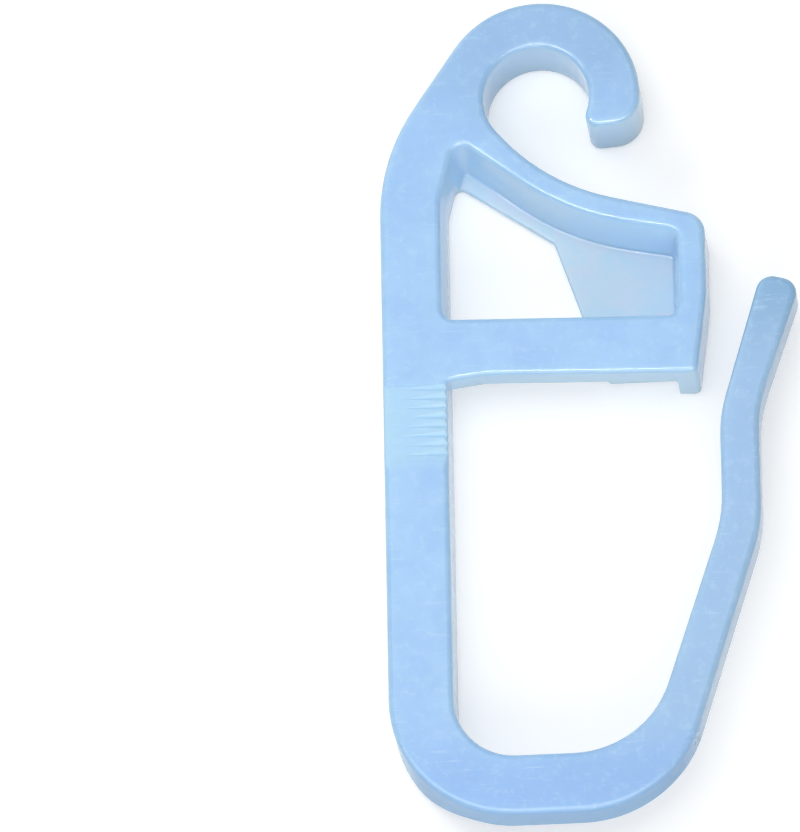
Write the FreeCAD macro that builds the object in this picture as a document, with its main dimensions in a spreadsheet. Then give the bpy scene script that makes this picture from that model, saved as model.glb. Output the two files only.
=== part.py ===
import FreeCAD, Part
import os
from math import acos, atan2, cos, pi, prod, sin, sqrt, tan

import Sketcher

# A curtain glider hook in one moulding, lying on its back.
# Origin: centre of the eye, half way through the thickness. X across, Y up the stem, Z out of the face.
# "reach", "span" and "gap" are lengths across, "drop" is a length down from the eye's centre.

SIZES = {
    # depths through the moulding
    "thickness": 3.8,
    "prong_thickness": 2.4,
    "bar_thickness": 1.5,
    "web_thickness": 0.6,
    # curled eye
    "eye_radius": 2.8,
    "ring_wall": 2.55,
    "ring_shift": 0.15,
    "lip_drop": 1.85,
    "lip_clear": 0.2,
    "lip_nose": 0.62,
    "lip_rise": 0.2,
    "lip_straight": 0.1,
    # shoulder and stem
    "stem_reach": 8.4,
    "stem_width": 3.4,
    "shoulder_drop": 3.05,
    "shoulder_bend": 11.0,
    # arm and end bar
    "knee_reach": 0.55,
    "knee_drop": 4.93,
    "arm_fall": 2.15,
    "arm_bend": 11.2,
    "end_corner": 1.2,
    "end_straight": 4.3,
    "end_kink_bend": 4.0,
    "end_taper": 0.6,
    "end_foot_step": 0.35,
    "end_foot_corner": 0.35,
    "end_wall": 1.4,
    # crossbar
    "bar_span": 13.75,
    "bar_drop": 15.5,
    "bar_height": 3.2,
    "gusset_run": 2.0,
    "gusset_rise": 0.25,
    "gusset_bend": 0.3,
    # heel, foot and toe
    "foot_drop": 39.7,
    "foot_width": 3.25,
    "heel_bend": 6.5,
    "heel_inner_bend": 3.2,
    "toe_inset": 2.42,
    "toe_step": 1.35,
    "toe_bend": 6.65,
    "toe_inner_bend": 5.3,
    "ramp_reach": 2.43,
    "ramp_rise": 3.4,
    "ramp_length": 3.0,
    "ramp_flat": 8.0,
    "ramp_cross": 8.0,
    "ramp_blend": 3.0,
    "ramp_turn": 36.5,
    "foot_lead": 4.0,
    # springy prong
    "prong_gap": 0.5,
    "prong_side": 0.25,
    "prong_width": 2.05,
    "prong_bend": 8.0,
    "waist_low_drop": 23.85,
    "waist_low_step": 0.6,
    "waist_top_drop": 18.3,
    "waist_top_step": 0.4,
    "tip_drop": 10.45,
    "tip_flare": 2.37,
    "tip_span": 2.1,
    "tip_slope": 0.6,
    "tip_round": 0.85,
    # recess in the face, window and rear block
    "recess_flare": 0.9,
    "recess_top_drop": 2.05,
    "flare_length": 3.45,
    "flare_bend": 3.0,
    "arm_cap_run": 1.1,
    "arm_cap_rise": 1.77,
    "arm_inner_bend": 13.4,
    "end_cap": 0.77,
    "recess_corner": 0.7,
    "recess_slope": 0.14,
    "stem_lean": 0.25,
    "recess_foot": 0.15,
    "strip_reach": 1.13,
    "strip_drop": 4.1,
    "window_reach": 5.59,
    "web_strip": 0.45,
    "window_corner": 0.4,
    "block_reach": 8.24,
    "block_rise": 0.75,
    "block_corner": 0.25,
    "foot_lap": 0.3,
    # grip pad on the stem
    "pad_depth": 0.06,
    "grip_gap": 0.15,
    "grip_count": 8,
    "grip_pitch": 0.52,
    "notch_half": 0.23,
    "notch_depth": 0.13,
    "notch_run": 2.5,
    # edge roundings
    "face_round": 0.35,
    "rim_round": 0.15,
    "back_bevel": 0.25,
    # how far cuts run clear of the moulding
    "cut_margin": 1.0,
}

doc = FreeCAD.newDocument("glider_hook")
sheet = doc.addObject("Spreadsheet::Sheet", "Sizes")
for row, (name, value) in enumerate(SIZES.items(), start=1):
    sheet.set("A%d" % row, name)
    sheet.set("B%d" % row, str(value))
    sheet.setAlias("B%d" % row, name)
doc.recompute()

body = doc.addObject("PartDesign::Body", "glider_hook")
body.Label = "glider_hook"
planes = {feature.Role: feature for feature in body.Origin.OriginFeatures}


def size(terms):
    """Adds up a sum of named sizes and products, such as "- stem_reach + grip_count*grip_pitch"."""
    total = 0.0
    sign = 1.0
    for word in terms.split():
        if word in "+-":
            sign = -1.0 if word == "-" else 1.0
        else:
            total += sign * prod(float(sheet.get(name)) for name in word.split("*"))
    return total


def formula(terms):
    """The same sum, as an expression that refers to the sheet."""
    return " ".join(word if word in "+-" else "Sizes." + word.replace("*", " * Sizes.") for word in terms.split())


def flipped(terms):
    """The same sum with every sign turned round."""
    words = terms.split()
    if words[0] not in "+-":
        words.insert(0, "+")
    return " ".join({"+": "-", "-": "+"}.get(word, word) for word in words).removeprefix("+ ")


def plan(terms):
    """A point from its two lengths; one that starts with @ is measured straight out from the eye's centre."""
    across, up = terms
    if across.startswith("@"):
        return FreeCAD.Vector(sqrt(size(across[1:]) ** 2 - size(up) ** 2), size(up), 0)
    return FreeCAD.Vector(size(across), size(up), 0)


def new_sketch(name, plane, lift=None):
    sketch = body.newObject("Sketcher::SketchObject", name)
    sketch.AttachmentSupport = [(planes[plane], "")]
    sketch.MapMode = "FlatFace"
    if lift:
        sketch.setExpression("AttachmentOffset.Base.z", lift)
    return sketch


def crossing(a, b, c, d):
    """Where the line through a and b meets the line through c and d."""
    u, v, w = b - a, d - c, c - a
    return a + u * ((w.x * v.y - w.y * v.x) / (u.x * v.y - u.y * v.x))


def corner(x, y, bend):
    """A rounded corner whose two sides both pass through one point."""
    return {"inward": (x, y), "outward": (x, y), "bend": bend}


def meeting(inward, outward, bend):
    """A rounded corner where a line through one point meets a line through another."""
    return {"inward": inward, "outward": outward, "bend": bend}


def ring(x, radius, leftward):
    """A wide arc about a centre on the X axis, which its two neighbouring lines touch."""
    return {"centre": (x, ""), "radius": radius, "leftward": leftward}


def touch(turn, point, leaving):
    """Where the line between a point and a ring touches the ring."""
    centre = plan(turn["centre"])
    away = point - centre
    swing = acos(size(turn["radius"]) / away.Length)
    if turn["leftward"] == leaving:
        swing = -swing
    angle = atan2(away.y, away.x) + swing
    return centre + FreeCAD.Vector(cos(angle), sin(angle), 0) * size(turn["radius"])


def arc(centre, radius, start, end):
    """An arc that runs anticlockwise from one point to another."""
    first = atan2(start.y - centre.y, start.x - centre.x)
    last = atan2(end.y - centre.y, end.x - centre.x)
    while last <= first:
        last += 2 * pi
    return Part.ArcOfCircle(Part.Circle(centre, FreeCAD.Vector(0, 0, 1), radius), first, last)


def place(sketch, rules, bound, item, part, terms):
    """Holds a point at named lengths from the sketch's origin."""
    for kind, text in zip(("DistanceX", "DistanceY"), terms):
        if text.startswith("@"):
            bound.append((len(rules), formula(text[1:])))
            rules.append(Sketcher.Constraint("Distance", item, part, -1, 1, size(text[1:])))
            continue
        value = size(text)
        if not text:
            rules.append(Sketcher.Constraint("PointOnObject", item, part, -1 if kind == "DistanceY" else -2))
        elif value < 0:
            bound.append((len(rules), formula(flipped(text))))
            rules.append(Sketcher.Constraint(kind, item, part, -1, 1, -value))
        else:
            bound.append((len(rules), formula(text)))
            rules.append(Sketcher.Constraint(kind, -1, 1, item, part, value))


def trace(sketch, turns):
    """Draws a closed outline of straight lines that run tangent into arcs, and binds every size in it."""
    count = len(turns)
    # ends of the line that leaves each turn
    leave = [None] * count
    arrive = [None] * count
    for i, turn in enumerate(turns):
        after = turns[(i + 1) % count]
        if "centre" in turn:
            leave[i] = touch(turn, plan(after["inward"]), True)
        else:
            leave[i] = plan(turn["outward"])
        if "centre" in after:
            arrive[i] = touch(after, plan(turn["outward"]), False)
        else:
            arrive[i] = plan(after["inward"])
    arcs = []
    starts = [None] * count
    ends = [None] * count
    for i, turn in enumerate(turns):
        before = (i - 1) % count
        if "centre" in turn:
            left = turn["leftward"]
            first, last = arrive[before], leave[i]
            centre = plan(turn["centre"])
            radius = size(turn["radius"])
        else:
            tip = plan(turn["inward"])
            if turn["inward"] != turn["outward"]:
                tip = crossing(leave[before], arrive[before], leave[i], arrive[i])
            way_in = (tip - leave[before]).normalize()
            way_out = (arrive[i] - tip).normalize()
            side = way_in.x * way_out.y - way_in.y * way_out.x
            left = side > 0
            radius = size(turn["bend"])
            swing = abs(atan2(side, way_in.dot(way_out)))
            first = tip - way_in * (radius * tan(swing / 2))
            last = tip + way_out * (radius * tan(swing / 2))
            inside = FreeCAD.Vector(-way_in.y, way_in.x, 0) * (radius if left else -radius)
            centre = first + inside
        arcs.append((left, arc(centre, radius, first, last) if left else arc(centre, radius, last, first)))
        ends[before] = first
        starts[i] = last
    line_ids = [sketch.addGeometry(Part.LineSegment(starts[i], ends[i]), False) for i in range(count)]
    arc_ids = [sketch.addGeometry(shape, False) for left, shape in arcs]
    rules = []
    bound = []
    for i, turn in enumerate(turns):
        left = arcs[i][0]
        rules.append(Sketcher.Constraint("Tangent", line_ids[i - 1], 2, arc_ids[i], 1 if left else 2))
        rules.append(Sketcher.Constraint("Tangent", arc_ids[i], 2 if left else 1, line_ids[i], 1))
        named = turn["radius"] if "centre" in turn else turn["bend"]
        bound.append((len(rules), formula(named)))
        rules.append(Sketcher.Constraint("Radius", arc_ids[i], size(named)))
        if "centre" in turn:
            place(sketch, rules, bound, arc_ids[i], 3, turn["centre"])
            continue
        mark = sketch.addGeometry(Part.Point(plan(turn["inward"])), True)
        place(sketch, rules, bound, mark, 1, turn["inward"])
        rules.append(Sketcher.Constraint("PointOnObject", mark, 1, line_ids[i - 1]))
        if turn["inward"] != turn["outward"]:
            mark = sketch.addGeometry(Part.Point(plan(turn["outward"])), True)
            place(sketch, rules, bound, mark, 1, turn["outward"])
        rules.append(Sketcher.Constraint("PointOnObject", mark, 1, line_ids[i]))
    sketch.addConstraint(rules)
    for index, text in bound:
        sketch.setExpression("Constraints[%d]" % index, text)


def polygon(sketch, points):
    """Draws a closed outline with sharp corners and binds every corner."""
    spots = [plan(point) for point in points]
    count = len(points)
    ids = [sketch.addGeometry(Part.LineSegment(spots[i], spots[(i + 1) % count]), False) for i in range(count)]
    rules = []
    bound = []
    for i, point in enumerate(points):
        rules.append(Sketcher.Constraint("Coincident", ids[i - 1], 2, ids[i], 1))
        place(sketch, rules, bound, ids[i], 1, point)
    sketch.addConstraint(rules)
    for index, text in bound:
        sketch.setExpression("Constraints[%d]" % index, text)


def cut(name, sketch, depth, reverse=False, both=False):
    """Cuts a sketch into the body and makes sure that it removed something."""
    doc.recompute()
    before = body.Shape.Volume
    pocket = body.newObject("PartDesign::Pocket", name)
    pocket.Profile = sketch
    pocket.Reversed = reverse
    if both:
        pocket.SideType = "Symmetric"
    pocket.setExpression("Length", depth)
    doc.recompute()
    if not body.Shape.Volume < before - 1e-6:
        raise RuntimeError(name + " cut nothing")
    return pocket


def soften(name, wanted, kind, length):
    """Rounds or bevels every edge of the body that a test picks out."""
    doc.recompute()
    base = body.Tip
    edges = ["Edge%d" % (i + 1) for i, edge in enumerate(base.Shape.Edges) if wanted(edge)]
    dressing = body.newObject("PartDesign::" + kind, name)
    dressing.Base = (base, edges)
    dressing.setExpression("Radius" if kind == "Fillet" else "Size", length)
    doc.recompute()
    if dressing.Shape.isNull() or not dressing.Shape.isValid():
        raise RuntimeError(name + " failed")


def level(edge):
    """Height of a flat-lying edge, or None for one that climbs."""
    low, high = edge.BoundBox.ZMin, edge.BoundBox.ZMax
    return (low + high) / 2 if high - low < 1e-4 else None


def at(edge, height):
    return level(edge) is not None and abs(level(edge) - height) < 1e-4


# Places that several outlines share
STEM_OUT = "- stem_reach"
STEM_IN = "- stem_reach + stem_width"
END_OUT = STEM_IN + " + bar_span"
END_IN = END_OUT + " - end_wall"
PRONG_IN = END_OUT + " + prong_gap"
PRONG_OUT = PRONG_IN + " + prong_width"
LIP_OUT = "ring_shift + eye_radius + ring_wall"
END_TOP = "- knee_drop - arm_fall"
END_FOOT = "- bar_drop - end_foot_step"
STEM_FACE = STEM_IN + " - stem_lean"
FLARE = (STEM_IN + " + recess_flare", "- recess_top_drop")
FLARE_FOOT = "- recess_top_drop - flare_length"
RAMP = "- stem_reach + ramp_reach"
THINNED = "thickness - prong_thickness"

# The whole outline, anticlockwise from the shoulder
outline = new_sketch("outline", "XY_Plane")
trace(outline, [
    corner(STEM_OUT, "- shoulder_drop", "shoulder_bend"),
    corner(STEM_OUT, "- foot_drop", "heel_bend"),
    corner(END_OUT + " - toe_inset", "- foot_drop", "toe_bend"),
    corner(PRONG_OUT, "- waist_low_drop - waist_low_step", "prong_bend"),
    corner(PRONG_OUT, "- waist_top_drop + waist_top_step", "prong_bend"),
    corner(PRONG_IN + " + tip_flare + tip_span", "- tip_drop - tip_slope", "tip_round"),
    corner(PRONG_IN + " + tip_flare", "- tip_drop", "tip_round"),
    corner(PRONG_IN, "- waist_top_drop", "prong_bend"),
    corner(PRONG_IN, "- waist_low_drop", "prong_bend"),
    corner(END_OUT + " - toe_inset - toe_step", "- foot_drop + foot_width", "toe_inner_bend"),
    corner(STEM_IN, "- foot_drop + foot_width", "heel_inner_bend"),
    corner(STEM_IN, "- bar_drop - gusset_rise", "gusset_bend"),
    corner(STEM_IN + " + gusset_run", "- bar_drop", "gusset_bend"),
    corner(END_OUT + " - end_taper", END_FOOT, "end_foot_corner"),
    corner(END_OUT, END_TOP + " - end_straight", "end_kink_bend"),
    corner(END_OUT, END_TOP, "end_corner"),
    corner("knee_reach", "- knee_drop", "arm_bend"),
    ring("", "eye_radius", False),
    corner("@ eye_radius + lip_clear", "- lip_drop", "lip_nose"),
    corner(LIP_OUT, "- lip_drop + lip_rise", "lip_drop - lip_rise - lip_straight"),
    ring("ring_shift", "eye_radius + ring_wall", True),
])
blank = body.newObject("PartDesign::Pad", "blank")
blank.Profile = outline
blank.SideType = "Symmetric"
blank.setExpression("Length", "Sizes.thickness")
doc.recompute()

# Recess in the face between arm, stem, crossbar and end bar, down to a thin web
recess = new_sketch("recess_outline", "XY_Plane", "Sizes.thickness / 2")
trace(recess, [
    corner(STEM_FACE, FLARE_FOOT, "flare_bend"),
    corner(STEM_FACE, "- bar_drop + bar_height", "recess_corner"),
    corner(END_IN, END_FOOT + " + bar_height", "recess_corner"),
    corner(END_IN, END_TOP + " - end_cap", "recess_corner"),
    corner("knee_reach + arm_cap_run", "- knee_drop - arm_cap_rise", "arm_inner_bend"),
    corner(STEM_FACE + " + recess_flare", "- recess_top_drop", "recess_corner"),
])
drafted = cut("recess", recess, "Sizes.thickness - Sizes.web_thickness")
drafted.setExpression("TaperAngle", "-atan(Sizes.recess_slope)")

# From the back: the window through the web, and the hollow that leaves the crossbar as a front plate
window = new_sketch("window_outline", "XY_Plane", "-Sizes.thickness / 2")
BELOW = END_FOOT + " - cut_margin"
trace(window, [
    corner(STEM_IN, FLARE_FOOT, "flare_bend"),
    corner(STEM_IN, BELOW, "recess_corner"),
    corner(END_IN + " - foot_lap", BELOW, "recess_corner"),
    corner(END_IN + " - foot_lap", END_FOOT + " + block_rise", "block_corner"),
    corner(STEM_IN + " + block_reach", END_FOOT + " + block_rise", "window_corner"),
    corner(STEM_IN + " + window_reach", "- knee_drop - arm_cap_rise - web_strip", "window_corner"),
    meeting((STEM_IN + " + strip_reach", "- strip_drop"), FLARE, "window_corner"),
])
cut("window", window, "Sizes.thickness - Sizes.bar_thickness", reverse=True)

# The heel climbs from the stem's full depth to the thinner foot by a ramp across the strap
ramp = new_sketch("ramp_profile", "XZ_Plane")
ramp.AttachmentOffset.Rotation = FreeCAD.Rotation(FreeCAD.Vector(0, -1, 0), size("ramp_turn"))
ramp.setExpression("AttachmentOffset.Base.x", formula(RAMP))
ramp.setExpression("AttachmentOffset.Base.y", "-Sizes.thickness / 2")
ramp.setExpression("AttachmentOffset.Base.z", "Sizes.foot_drop - Sizes.ramp_rise")
ramp.setExpression("AttachmentOffset.Rotation.Angle", "Sizes.ramp_turn")
polygon(ramp, [
    ("", ""),
    ("ramp_length", THINNED),
    ("ramp_length + ramp_flat", THINNED),
    ("ramp_length + ramp_flat", "- cut_margin"),
    ("", "- cut_margin"),
])
cut("ramp", ramp, "2 * Sizes.ramp_cross", both=True)

# Foot and prong are thinned from the back, behind the ramp
thinning = new_sketch("prong_back", "XY_Plane", "-Sizes.thickness / 2")
FOOT_START = RAMP + " + ramp_length + foot_lead"
TIP_SIDE = PRONG_IN + " + tip_flare + tip_span + cut_margin"
polygon(thinning, [
    (FOOT_START, "- foot_drop - cut_margin"),
    (TIP_SIDE, "- foot_drop - cut_margin"),
    (TIP_SIDE, "- tip_drop + cut_margin"),
    (PRONG_IN + " - prong_side", "- tip_drop + cut_margin"),
    (PRONG_IN + " - prong_side", BELOW),
    (FOOT_START, BELOW),
])
cut("thinning", thinning, "Sizes.thickness - Sizes.prong_thickness", reverse=True)

# Roundings
half = size("thickness") / 2
thin_back = half - size("prong_thickness")
floor = size("web_thickness") - half
across = FreeCAD.Vector(sin(size("ramp_turn") * pi / 180), cos(size("ramp_turn") * pi / 180), 0)


def crease(edge):
    """Tells the straight edges where the ramp starts and ends."""
    if not isinstance(edge.Curve, Part.Line):
        return False
    return abs(edge.Curve.Direction.cross(across).Length) < 1e-3


def climbs(edge):
    """Tells an edge at the foot of a wall that climbs to the face from one at the rim of a drop."""
    walls = body.Tip.Shape.ancestorsOfType(edge, Part.Face)
    return max(wall.BoundBox.ZMax for wall in walls) > half - 1e-4


def ramp_end(edge):
    return crease(edge) and (at(edge, -half) or at(edge, thin_back))


soften("ramp_blends", ramp_end, "Fillet", "Sizes.ramp_blend")
soften("back_edges", lambda edge: at(edge, -half) and not crease(edge), "Chamfer", "Sizes.back_bevel")
soften("web_rim", lambda edge: at(edge, floor) and not climbs(edge), "Fillet", "Sizes.rim_round")
soften("recess_feet", lambda edge: at(edge, floor) and climbs(edge), "Fillet", "Sizes.recess_foot")
soften("face_edges", lambda edge: at(edge, half), "Fillet", "Sizes.face_round")

# Grip pad on the stem's face: a shallow band with notches that deepen towards the loop
PAD_TOP = "- bar_drop - gusset_rise - grip_gap"
PAD_FOOT = PAD_TOP + " - grip_count*grip_pitch - grip_gap"
pad = new_sketch("pad_outline", "XY_Plane", "Sizes.thickness / 2")
polygon(pad, [
    (STEM_OUT + " - cut_margin", PAD_FOOT),
    (STEM_IN + " + cut_margin", PAD_FOOT),
    (STEM_IN + " + cut_margin", PAD_TOP),
    (STEM_OUT + " - cut_margin", PAD_TOP),
])
cut("pad", pad, "Sizes.pad_depth")
notch = new_sketch("notch_profile", "YZ_Plane")
notch.AttachmentOffset.Rotation = FreeCAD.Rotation(FreeCAD.Vector(1, 0, 0), 1)
notch.setExpression("AttachmentOffset.Base.x", formula(PAD_TOP + " - notch_half"))
notch.setExpression("AttachmentOffset.Base.y", "Sizes.thickness / 2 - Sizes.pad_depth")
notch.setExpression("AttachmentOffset.Base.z", formula(STEM_IN))
notch.setExpression("AttachmentOffset.Rotation.Angle", "atan(Sizes.notch_depth / Sizes.notch_run)")
polygon(notch, [
    ("", "- notch_depth"),
    ("notch_half", ""),
    ("notch_half", "cut_margin"),
    ("- notch_half", "cut_margin"),
    ("- notch_half", ""),
])
first_notch = cut("notch", notch, "Sizes.notch_run + Sizes.cut_margin")
grips = body.newObject("PartDesign::LinearPattern", "grips")
grips.Originals = [first_notch]
grips.Direction = (planes["Y_Axis"], [""])
grips.Reversed = True
grips.Mode = "Spacing"
grips.setExpression("Offset", "Sizes.grip_pitch")
grips.setExpression("Occurrences", "Sizes.grip_count")
body.Tip = grips
doc.recompute()

# Nothing is written unless every object built and the body is sound
for item in doc.Objects:
    if "Invalid" in item.State or "Error" in item.State:
        raise RuntimeError(item.Name + " failed")
if body.Shape.isNull() or not body.Shape.isValid() or len(body.Shape.Solids) != 1:
    raise RuntimeError("the body is not one sound solid")
os.makedirs("parts", exist_ok=True)
body.Shape.exportStep("parts/glider_hook.step")
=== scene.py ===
# %% [markdown]
# # A curtain glider hook
# The real hook is one flat moulding of pale blue, slightly milky plastic. It lies on its back, and the camera
# looks almost straight down on it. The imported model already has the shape: the curled eye, the arm with its
# recess and window, the crossbar, the grips on the stem, the ramped heel and the bent prong. It is loaded here as
# a fixed frame, in metres, and this script gives it its finish, its light and its camera.

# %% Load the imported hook
import math

import bpy
from mathutils import Matrix, Vector


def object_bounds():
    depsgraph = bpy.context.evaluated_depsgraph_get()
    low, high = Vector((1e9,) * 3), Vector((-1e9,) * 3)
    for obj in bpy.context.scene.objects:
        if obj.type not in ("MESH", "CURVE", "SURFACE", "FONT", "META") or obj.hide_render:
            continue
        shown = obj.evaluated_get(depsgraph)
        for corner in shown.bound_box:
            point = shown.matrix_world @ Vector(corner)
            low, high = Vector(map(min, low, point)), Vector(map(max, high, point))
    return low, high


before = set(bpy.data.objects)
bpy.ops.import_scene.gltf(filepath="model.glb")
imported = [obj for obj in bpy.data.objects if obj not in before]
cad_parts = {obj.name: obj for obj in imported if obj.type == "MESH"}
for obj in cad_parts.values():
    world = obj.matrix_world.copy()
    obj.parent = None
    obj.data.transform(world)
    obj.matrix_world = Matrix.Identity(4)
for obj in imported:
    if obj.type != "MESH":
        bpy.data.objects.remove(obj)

cad_low, cad_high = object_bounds()
MM = 0.001
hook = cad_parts["glider_hook"]
print("hook box in mm:", [round(v / MM, 2) for v in cad_high - cad_low], "triangles:", len(hook.data.polygons))

# %% [markdown]
# ## Small helpers for nodes
# A material is a little network of nodes. It could be drawn by hand in the shader editor; in a script, a few
# helpers keep the cells below short. The first two start a material and add a node, whose sockets get plain values
# or links. The others each add one kind of node and hand on its output.

# %% Node helpers
# The Mix node has sockets for numbers, vectors and colours under the same names, so they go by their numbers.
MIX_AMOUNT, MIX_FIRST, MIX_SECOND, MIX_RESULT = 0, 6, 7, 2


def start_material(name):
    material = bpy.data.materials.new(name)
    material.use_nodes = True
    tree = material.node_tree
    tree.nodes.clear()
    return material, tree


def add_node(tree, kind, inputs=None, **settings):
    node = tree.nodes.new("ShaderNode" + kind)
    for key, value in settings.items():
        setattr(node, key, value)
    for key, value in (inputs or {}).items():
        if isinstance(value, bpy.types.NodeSocket):
            tree.links.new(value, node.inputs[key])
        else:
            node.inputs[key].default_value = value
    return node


def noise(tree, place, scale, detail, roughness, distortion=0.0):
    sockets = {"Vector": place, "Scale": scale, "Detail": detail, "Roughness": roughness, "Distortion": distortion}
    return add_node(tree, "TexNoise", sockets).outputs["Fac"]


def stepped(tree, source, low, high, to_low=0.0, to_high=1.0):
    """Leads smoothly from one value to another while the source goes from low to high."""
    sockets = {"Value": source, "From Min": low, "From Max": high, "To Min": to_low, "To Max": to_high}
    return add_node(tree, "MapRange", sockets, interpolation_type="SMOOTHSTEP").outputs["Result"]


def reckoned(tree, operation, first, second):
    return add_node(tree, "Math", {0: first, 1: second}, operation=operation).outputs["Value"]


def tinted(tree, amount, first, second):
    """Mixes two colours, each a plain value or the output of another mix, by an amount."""
    first, second = [(*c, 1.0) if isinstance(c, tuple) else c for c in (first, second)]
    sockets = {MIX_AMOUNT: amount, MIX_FIRST: first, MIX_SECOND: second}
    return add_node(tree, "Mix", sockets, data_type="RGBA").outputs[MIX_RESULT]


print("helpers ready")

# %% [markdown]
# ## Milky blue plastic: the colour
# The real plastic is a pale blue, a little see-through. Its colour is not even: the melt leaves soft cloudy
# patches a few millimetres wide. A cloudy noise mixes two close blues. A picture could be wrapped round the hook
# instead, but a noise on Object coordinates needs no unwrapping and has no seams. The coordinates are stretched so
# that one unit is one millimetre.

# %% Mix the two blues
CLEAR_BLUE = (0.36, 0.59, 0.91)
CLOUDY_BLUE = (0.40, 0.64, 0.96)
CLOUD_SCALE = 0.38
CLEAR_BELOW, CLOUDY_ABOVE = 0.34, 0.68

plastic, net = start_material("milky_blue_plastic")
in_metres = add_node(net, "TexCoord").outputs["Object"]
per_millimetre = (1 / MM, 1 / MM, 1 / MM)
place = add_node(net, "Mapping", {"Vector": in_metres, "Scale": per_millimetre}).outputs["Vector"]
cloud = noise(net, place, CLOUD_SCALE, detail=3.0, roughness=0.55, distortion=0.4)
blue = tinted(net, stepped(net, cloud, CLEAR_BELOW, CLOUDY_ABOVE), CLEAR_BLUE, CLOUDY_BLUE)
print("blues mixed by a noise of", round(1 / CLOUD_SCALE, 1), "mm")

# %% [markdown]
# ## Milky blue plastic: faces and walls apart
# On the real hook the faces, the walls and the ends differ a little in colour. They could be told apart by hand,
# with a material for each, but then each border would be sharp. Instead, the place and the normal are split into
# X, Y and Z, and smooth steps on them pick out each part.

# %% Split the place and the normal
UPWARD_FROM, UPWARD_TO = 0.35, 0.9
WALL_FROM, WALL_TO, WALL_AMOUNT = 0.88, 0.1, 0.85

axes = add_node(net, "SeparateXYZ", {"Vector": place}).outputs
outward = add_node(net, "NewGeometry").outputs["Normal"]
normal = add_node(net, "SeparateXYZ", {"Vector": outward}).outputs
upward = stepped(net, normal["Z"], UPWARD_FROM, UPWARD_TO)
sideways = stepped(net, normal["Z"], WALL_FROM, WALL_TO, to_high=WALL_AMOUNT)
print("faces and walls told apart by the normal's Z")

# %% [markdown]
# ## Milky blue plastic: the thin web
# Where the moulding is thin the plastic looks paler and a shade towards lilac, in uneven clouds, because light
# passes right through to the table and back. Real thin plastic would need a slow volume shader; a paler tint gives
# the same look. The web is the only face that looks up from so low down, so its height and its upward normal pick
# it out.

# %% Tint the web
WEB_BLUE = (0.57, 0.77, 1.0)
WEB_LILAC = (0.64, 0.77, 1.0)
WEB_TOP = -1.3
WEB_FULL, WEB_NONE = WEB_TOP + 0.1, WEB_TOP + 0.6
BLUE_BELOW, LILAC_ABOVE = 0.36, 0.62

low_down = stepped(net, axes["Z"], WEB_NONE, WEB_FULL)
on_web = reckoned(net, "MULTIPLY", upward, low_down)
mottle = noise(net, place, scale=0.55, detail=5.0, roughness=0.65, distortion=0.6)
mottled = tinted(net, stepped(net, mottle, BLUE_BELOW, LILAC_ABOVE), WEB_BLUE, WEB_LILAC)
with_web = tinted(net, on_web, blue, mottled)
print("web tint below z =", WEB_TOP, "mm")

# %% [markdown]
# ## Milky blue plastic: the sunk grip pad
# The sunk grip pad on the stem is tinted lighter, with a sharp upper border and a softer lower one.
# It could have a material of its own, but its place along the stem and across it picks it out just as well.

# %% Tint the pad
PAD_BLUE = (0.46, 0.72, 0.95)
PAD_FROM, PAD_TO = -15.9, -20.3
PAD_SHARP, PAD_SOFT = 0.1, 0.4
PAD_AMOUNT = 0.8
STEM_INSIDE, STEM_EDGE = -5.0, -4.6

below_top = stepped(net, axes["Y"], PAD_FROM + PAD_SHARP, PAD_FROM - PAD_SHARP, to_high=PAD_AMOUNT)
above_end = stepped(net, axes["Y"], PAD_TO - PAD_SOFT, PAD_TO + PAD_SOFT)
along_pad = reckoned(net, "MULTIPLY", below_top, above_end)
across_pad = reckoned(net, "MULTIPLY", along_pad, stepped(net, axes["X"], STEM_EDGE, STEM_INSIDE))
on_pad = reckoned(net, "MULTIPLY", across_pad, upward)
with_pad = tinted(net, on_pad, with_web, PAD_BLUE)
print("pad tint from y =", PAD_FROM, "to", PAD_TO, "mm")

# %% [markdown]
# ## Milky blue plastic: walls and prong
# Light that enters the faces leaves again through the walls, so the walls look hardly darker than the faces, only
# greyer and a little green; that light is painted into the walls' colour. The prong and its tip are painted darker
# and greyer, the tip deepest of all: painted shade where the light falls off away from the middle of the stem. The
# prong runs past the heel below the crossbar and outside the end bar above it, so it is picked out in two stretches
# that fade into each other.

# %% Tint the walls and the prong
# painted light: the walls get a lighter, greener blue that stands in for the light reaching them
WALL_PAINTED_LIGHT_BLUE = (0.51, 0.72, 0.90)
# painted shade: the prong and its tip are darkened where the light falls off
PRONG_PAINTED_SHADE_BLUE = (0.35, 0.545, 0.78)
TIP_PAINTED_SHADE_BLUE = (0.20, 0.41, 0.63)
PRONG_AMOUNT, TIP_AMOUNT = 0.7, 0.6
STRETCH_LOW, STRETCH_HIGH = -23.0, -19.0
HEEL_FROM, HEEL_TO = -3.0, 5.0
OUTSIDE_FROM, OUTSIDE_TO = 8.8, 9.3
TIP_FROM, TIP_TO = -16.0, -11.0

with_wall_light = tinted(net, sideways, with_pad, WALL_PAINTED_LIGHT_BLUE)
below_bar = stepped(net, axes["Y"], STRETCH_HIGH, STRETCH_LOW)
past_heel = stepped(net, axes["X"], HEEL_FROM, HEEL_TO, to_high=PRONG_AMOUNT)
low_stretch = reckoned(net, "MULTIPLY", below_bar, past_heel)
outside = stepped(net, axes["X"], OUTSIDE_FROM, OUTSIDE_TO)
above_heel = stepped(net, axes["Y"], STRETCH_LOW, STRETCH_HIGH, to_high=PRONG_AMOUNT)
high_stretch = reckoned(net, "MULTIPLY", outside, above_heel)
near_tip = stepped(net, axes["Y"], TIP_FROM, TIP_TO, to_high=TIP_AMOUNT)
on_tip = reckoned(net, "MULTIPLY", outside, near_tip)
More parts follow.
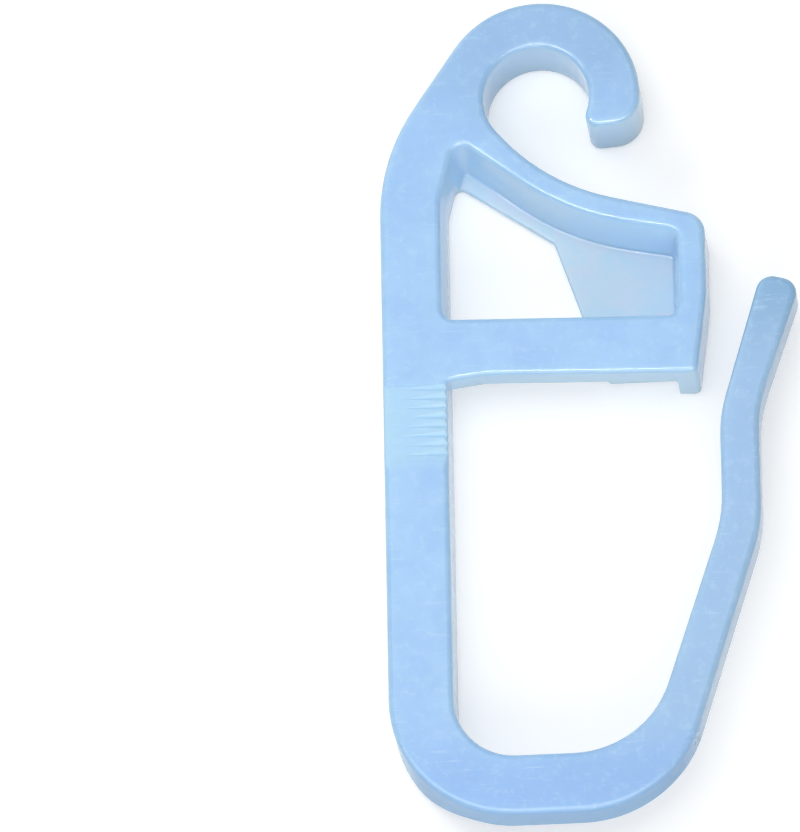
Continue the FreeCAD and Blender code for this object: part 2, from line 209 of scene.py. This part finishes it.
# painted shade on the two stretches of the prong and on its tip
with_low_prong = tinted(net, low_stretch, with_wall_light, PRONG_PAINTED_SHADE_BLUE)
with_prong = tinted(net, high_stretch, with_low_prong, PRONG_PAINTED_SHADE_BLUE)
with_tip = tinted(net, on_tip, with_prong, TIP_PAINTED_SHADE_BLUE)
print("walls and prong tinted, tip from y =", TIP_FROM, "mm")

# %% [markdown]
# ## Milky blue plastic: foot and eye
# The foot and the eye are the two ends of the moulding. Both are painted darker: painted shade where the light
# falls off away from the middle of the stem. The foot gets a deeper blue, its walls, which face the near lamp, most
# of all, and the upper face of the eye gets a little greyer. Lamps could darken the ends as well; here the shade is
# painted into the plastic's colour instead.

# %% Tint the foot and the eye
# painted shade: darker blues for the foot, its walls and the eye's upper face
FOOT_PAINTED_SHADE_BLUE = (0.28, 0.50, 0.87)
FOOT_WALL_PAINTED_SHADE_BLUE = (0.22, 0.42, 0.66)
EYE_PAINTED_SHADE_BLUE = (0.31, 0.50, 0.75)
FOOT_FROM, FOOT_TO, FOOT_AMOUNT = -34.0, -38.0, 0.7
EYE_FROM, EYE_TO, EYE_AMOUNT = -3.0, 3.0, 0.6

at_foot = stepped(net, axes["Y"], FOOT_FROM, FOOT_TO, to_high=FOOT_AMOUNT)
on_foot_wall = reckoned(net, "MULTIPLY", sideways, at_foot)
at_eye = stepped(net, axes["Y"], EYE_FROM, EYE_TO, to_high=EYE_AMOUNT)
on_eye = reckoned(net, "MULTIPLY", at_eye, upward)
# paint the shade on the foot, its walls and the eye
with_foot = tinted(net, at_foot, with_tip, FOOT_PAINTED_SHADE_BLUE)
with_foot_wall = tinted(net, on_foot_wall, with_foot, FOOT_WALL_PAINTED_SHADE_BLUE)
with_eye = tinted(net, on_eye, with_foot_wall, EYE_PAINTED_SHADE_BLUE)
print("foot tinted from y =", FOOT_FROM, "mm and eye from", EYE_FROM, "mm")

# %% [markdown]
# ## Milky blue plastic: scuffs
# Hooks rub against each other in the bag, which leaves faint pale scuffs and short scratches on the upper faces.
# They could be painted one by one, but nobody would miss a particular one, so noise places them: a fine noise makes
# the specks, and a noise that is squeezed in one direction makes the short scratches.

# %% Add scuffs
SCUFF_BLUE = (0.63, 0.82, 1.0)
SPECK_FROM, SPECK_TO, SPECK_AMOUNT = 0.48, 0.76, 0.3
SCRATCH_FROM, SCRATCH_TO, SCRATCH_AMOUNT = 0.58, 0.76, 0.4
SCRATCH_TURN = (0, 0, 0.12)
SCRATCH_SQUEEZE = (0.45, 3.6, 1.0)

speck = noise(net, place, scale=1.6, detail=5.0, roughness=0.7, distortion=0.3)
specks = stepped(net, speck, SPECK_FROM, SPECK_TO, to_high=SPECK_AMOUNT)
squeeze = add_node(net, "Mapping", {"Vector": place, "Rotation": SCRATCH_TURN, "Scale": SCRATCH_SQUEEZE})
scratch = noise(net, squeeze.outputs["Vector"], scale=1.1, detail=5.0, roughness=0.62, distortion=0.3)
scratches = stepped(net, scratch, SCRATCH_FROM, SCRATCH_TO, to_high=SCRATCH_AMOUNT)
with_specks = tinted(net, reckoned(net, "MULTIPLY", specks, upward), with_eye, SCUFF_BLUE)
skin = tinted(net, reckoned(net, "MULTIPLY", scratches, upward), with_specks, SCUFF_BLUE)
print("scuffs added, specks above", SPECK_FROM, "and scratches above", SCRATCH_FROM)

# %% [markdown]
# ## Milky blue plastic: wear and gloss
# The real skin is satin: smooth enough for a crisp line of light along a rounded edge, and duller where it is
# scuffed. The flat faces, the grip pad and the foot rub most and are the dullest. One roughness all over would be
# simpler, but then either the edges would lose their lines of light or the faces would glare.

# %% Work out the roughness
GLOSSY, SCUFFED = 0.13, 0.24
GLOSSY_BELOW, SCUFFED_ABOVE = 0.35, 0.75
FOOT_WEAR, FACE_WEAR, PAD_WEAR = 0.25, 0.2, 0.45
ROUNDED_Z, FLAT_Z = 0.96, 0.995

gloss = stepped(net, speck, GLOSSY_BELOW, SCUFFED_ABOVE, GLOSSY, SCUFFED)
foot_wear = stepped(net, axes["Y"], FOOT_FROM, FOOT_TO, to_high=FOOT_WEAR)
face_wear = stepped(net, normal["Z"], ROUNDED_Z, FLAT_Z, to_high=FACE_WEAR)
pad_wear = stepped(net, on_pad, 0.0, PAD_AMOUNT, to_high=PAD_WEAR)
broad_wear = reckoned(net, "MAXIMUM", foot_wear, face_wear)
wear = reckoned(net, "MAXIMUM", broad_wear, pad_wear)
dullness = reckoned(net, "ADD", gloss, wear)
print("roughness from", GLOSSY, "to", round(SCUFFED + PAD_WEAR, 2))

# %% [markdown]
# ## Milky blue plastic: the shader
# Light enters the plastic and comes out again close by, which softens every shade, so the shader gets some
# subsurface scattering over about a millimetre. A glass-like shader could let the light right through, but the
# real plastic is too milky for that. A very faint bump gives the fine grain of the mould.

# %% Build the shader
GRAIN_DEPTH = 0.02 * MM
SCATTER_DEPTH = 1.3 * MM

grain = noise(net, place, scale=2.6, detail=3.0, roughness=0.5)
skin_bump = add_node(net, "Bump", {"Height": grain, "Strength": 0.05, "Distance": GRAIN_DEPTH})
shader = add_node(net, "BsdfPrincipled", {
    "Base Color": skin,
    "Roughness": dullness,
    "Normal": skin_bump.outputs["Normal"],
    "IOR": 1.49,
    "Subsurface Weight": 0.5,
    "Subsurface Radius": (0.7, 0.9, 1.2),
    "Subsurface Scale": SCATTER_DEPTH,
})
add_node(net, "OutputMaterial", {"Surface": shader.outputs["BSDF"]})
hook.material_slots[0].material = plastic
print("plastic nodes:", len(net.nodes))

# %% [markdown]
# ## The white table
# The hook lies on a plain white table. A plain white surface under this light would come out pale grey. More light
# would also bleach the hook, so instead the part of the table that the camera or a reflection sees gets a little
# glow of its own. The soft shadow stays.

# %% Add the table
TABLE_SIZE = 6.0
TABLE_WHITE = (0.76, 0.76, 0.76, 1)
TABLE_GLOW = 0.42
PURE_WHITE = (1, 1, 1, 1)


def looked_at(tree):
    """One for rays from the camera, straight, by reflection or through glass, and nought for rays that light."""
    rays = add_node(tree, "LightPath").outputs
    either = reckoned(tree, "MAXIMUM", rays["Is Camera Ray"], rays["Is Glossy Ray"])
    return reckoned(tree, "MAXIMUM", either, rays["Is Transmission Ray"])


bpy.ops.object.select_all(action="DESELECT")
bpy.ops.mesh.primitive_plane_add(size=TABLE_SIZE, location=(0, 0, cad_low.z))
table = bpy.context.object
table.name = "table"
paint, net = start_material("white_table")
matt = add_node(net, "BsdfPrincipled", {
    "Base Color": TABLE_WHITE,
    "Roughness": 0.9,
    "Specular IOR Level": 0.0,
    "Emission Color": PURE_WHITE,
    "Emission Strength": reckoned(net, "MULTIPLY", looked_at(net), TABLE_GLOW),
})
add_node(net, "OutputMaterial", {"Surface": matt.outputs["BSDF"]})
table.data.materials.append(paint)
print("table lies at z =", round(cad_low.z / MM, 2), "mm")

# %% [markdown]
# ## Soft studio lamps
# Big soft lamps make gentle shades. One hangs over the upper stem, so the far parts of the hook fall off a little,
# and a weak one beyond the hook fills the far edges. A warmer one stands on the camera's side and fills the walls
# that face it. A long thin one draws the thin lines of light along the near rounded edges. A bright lamp there
# would also throw hard shadows, so that one is kept for reflections alone.

# %% Hang the lamps


def soft_lamp(name, spot, aim, width, height, share, colour):
    """An oblong lamp that lights a surface turned to it with a given share of plain daylight."""
    spot, aim = Vector(spot) * MM, Vector(aim) * MM
    bpy.ops.object.light_add(type="AREA", location=spot)
    lamp = bpy.context.object
    lamp.name = name
    lamp.visible_camera = False
    lamp.data.shape = "RECTANGLE"
    lamp.data.size = width * MM
    lamp.data.size_y = height * MM
    lamp.data.color = colour
    lamp.data.energy = share * math.pi ** 2 * (aim - spot).length_squared
    lamp.rotation_euler = (aim - spot).to_track_quat("-Z", "Y").to_euler()
    return lamp


soft_lamp("lamp_over", spot=(-12, -9, 90), aim=(-9, -14, 0), width=70, height=70, share=0.36,
          colour=(0.95, 0.98, 1.0))
soft_lamp("lamp_far", spot=(-130, 130, 110), aim=(-2, -14, 0), width=140, height=140, share=0.24,
          colour=(0.97, 0.99, 1.0))
soft_lamp("lamp_near", spot=(10, -190, 90), aim=(0, -18, 0), width=120, height=120, share=0.36,
          colour=(1.0, 0.97, 0.91))
glint = soft_lamp("lamp_glint", spot=(-40, -165, 240), aim=(0, -18, 0), width=700, height=24, share=2.8,
                  colour=(1.0, 0.98, 0.94))
glint.visible_diffuse = False

# %% [markdown]
# ## The white room
# A dim white surrounding fills what the lamps leave. Where the camera or a reflection looks at it, it is plain
# white, like the background of the photograph. A painted backdrop could do the same, but it would have to stand on
# all sides. The Standard view shows each colour about as it is written.

# %% Light the room
ROOM_LIGHT = 0.42

world = bpy.data.worlds.new("white_room")
bpy.context.scene.world = world
world.use_nodes = True
net = world.node_tree
net.nodes.clear()
bright = add_node(net, "MapRange", {
    "Value": looked_at(net), "From Min": 0.0, "From Max": 1.0, "To Min": ROOM_LIGHT, "To Max": 1.0,
})
room = add_node(net, "Background", {"Color": PURE_WHITE, "Strength": bright.outputs["Result"]})
add_node(net, "OutputWorld", {"Surface": room.outputs["Background"]})
bpy.context.scene.view_settings.view_transform = "Standard"
print("room light:", ROOM_LIGHT)

# %% [markdown]
# ## The camera
# The photograph was taken with a long lens from about twenty degrees off the upright, so the hook shows its lower
# walls but hardly any perspective. The hook fills the right half of the frame. The camera could be pointed by a
# constraint, but three angles, a spot to look at and a distance say the same and are easy to change.

# %% Place the camera
TILT = math.radians(20.0)
TURN = math.radians(13.0)
ROLL = math.radians(-1.044)
AIM = Vector((-7.659, -16.927, 0)) * MM
DISTANCE = 600 * MM
LENS, SENSOR = 493.27, 36.0
NEAREST, FARTHEST = 0.01, 20.0

away = Vector((math.sin(TILT) * math.sin(TURN), -math.sin(TILT) * math.cos(TURN), math.cos(TILT)))
level_up = Vector((0, 1, 0))
level_up = (level_up - away * level_up.dot(away)).normalized()
level_right = level_up.cross(away)
right = level_right * math.cos(ROLL) + level_up * math.sin(ROLL)
up = level_up * math.cos(ROLL) - level_right * math.sin(ROLL)
turned = Matrix((right, up, away)).transposed().to_4x4()

bpy.ops.object.camera_add()
camera = bpy.context.object
camera.data.lens = LENS
camera.data.sensor_width = SENSOR
camera.data.clip_start = NEAREST
camera.data.clip_end = FARTHEST
camera.matrix_world = Matrix.Translation(AIM + away * DISTANCE) @ turned
bpy.context.scene.camera = camera
print("camera at", [round(v / MM, 1) for v in camera.matrix_world.translation], "mm")
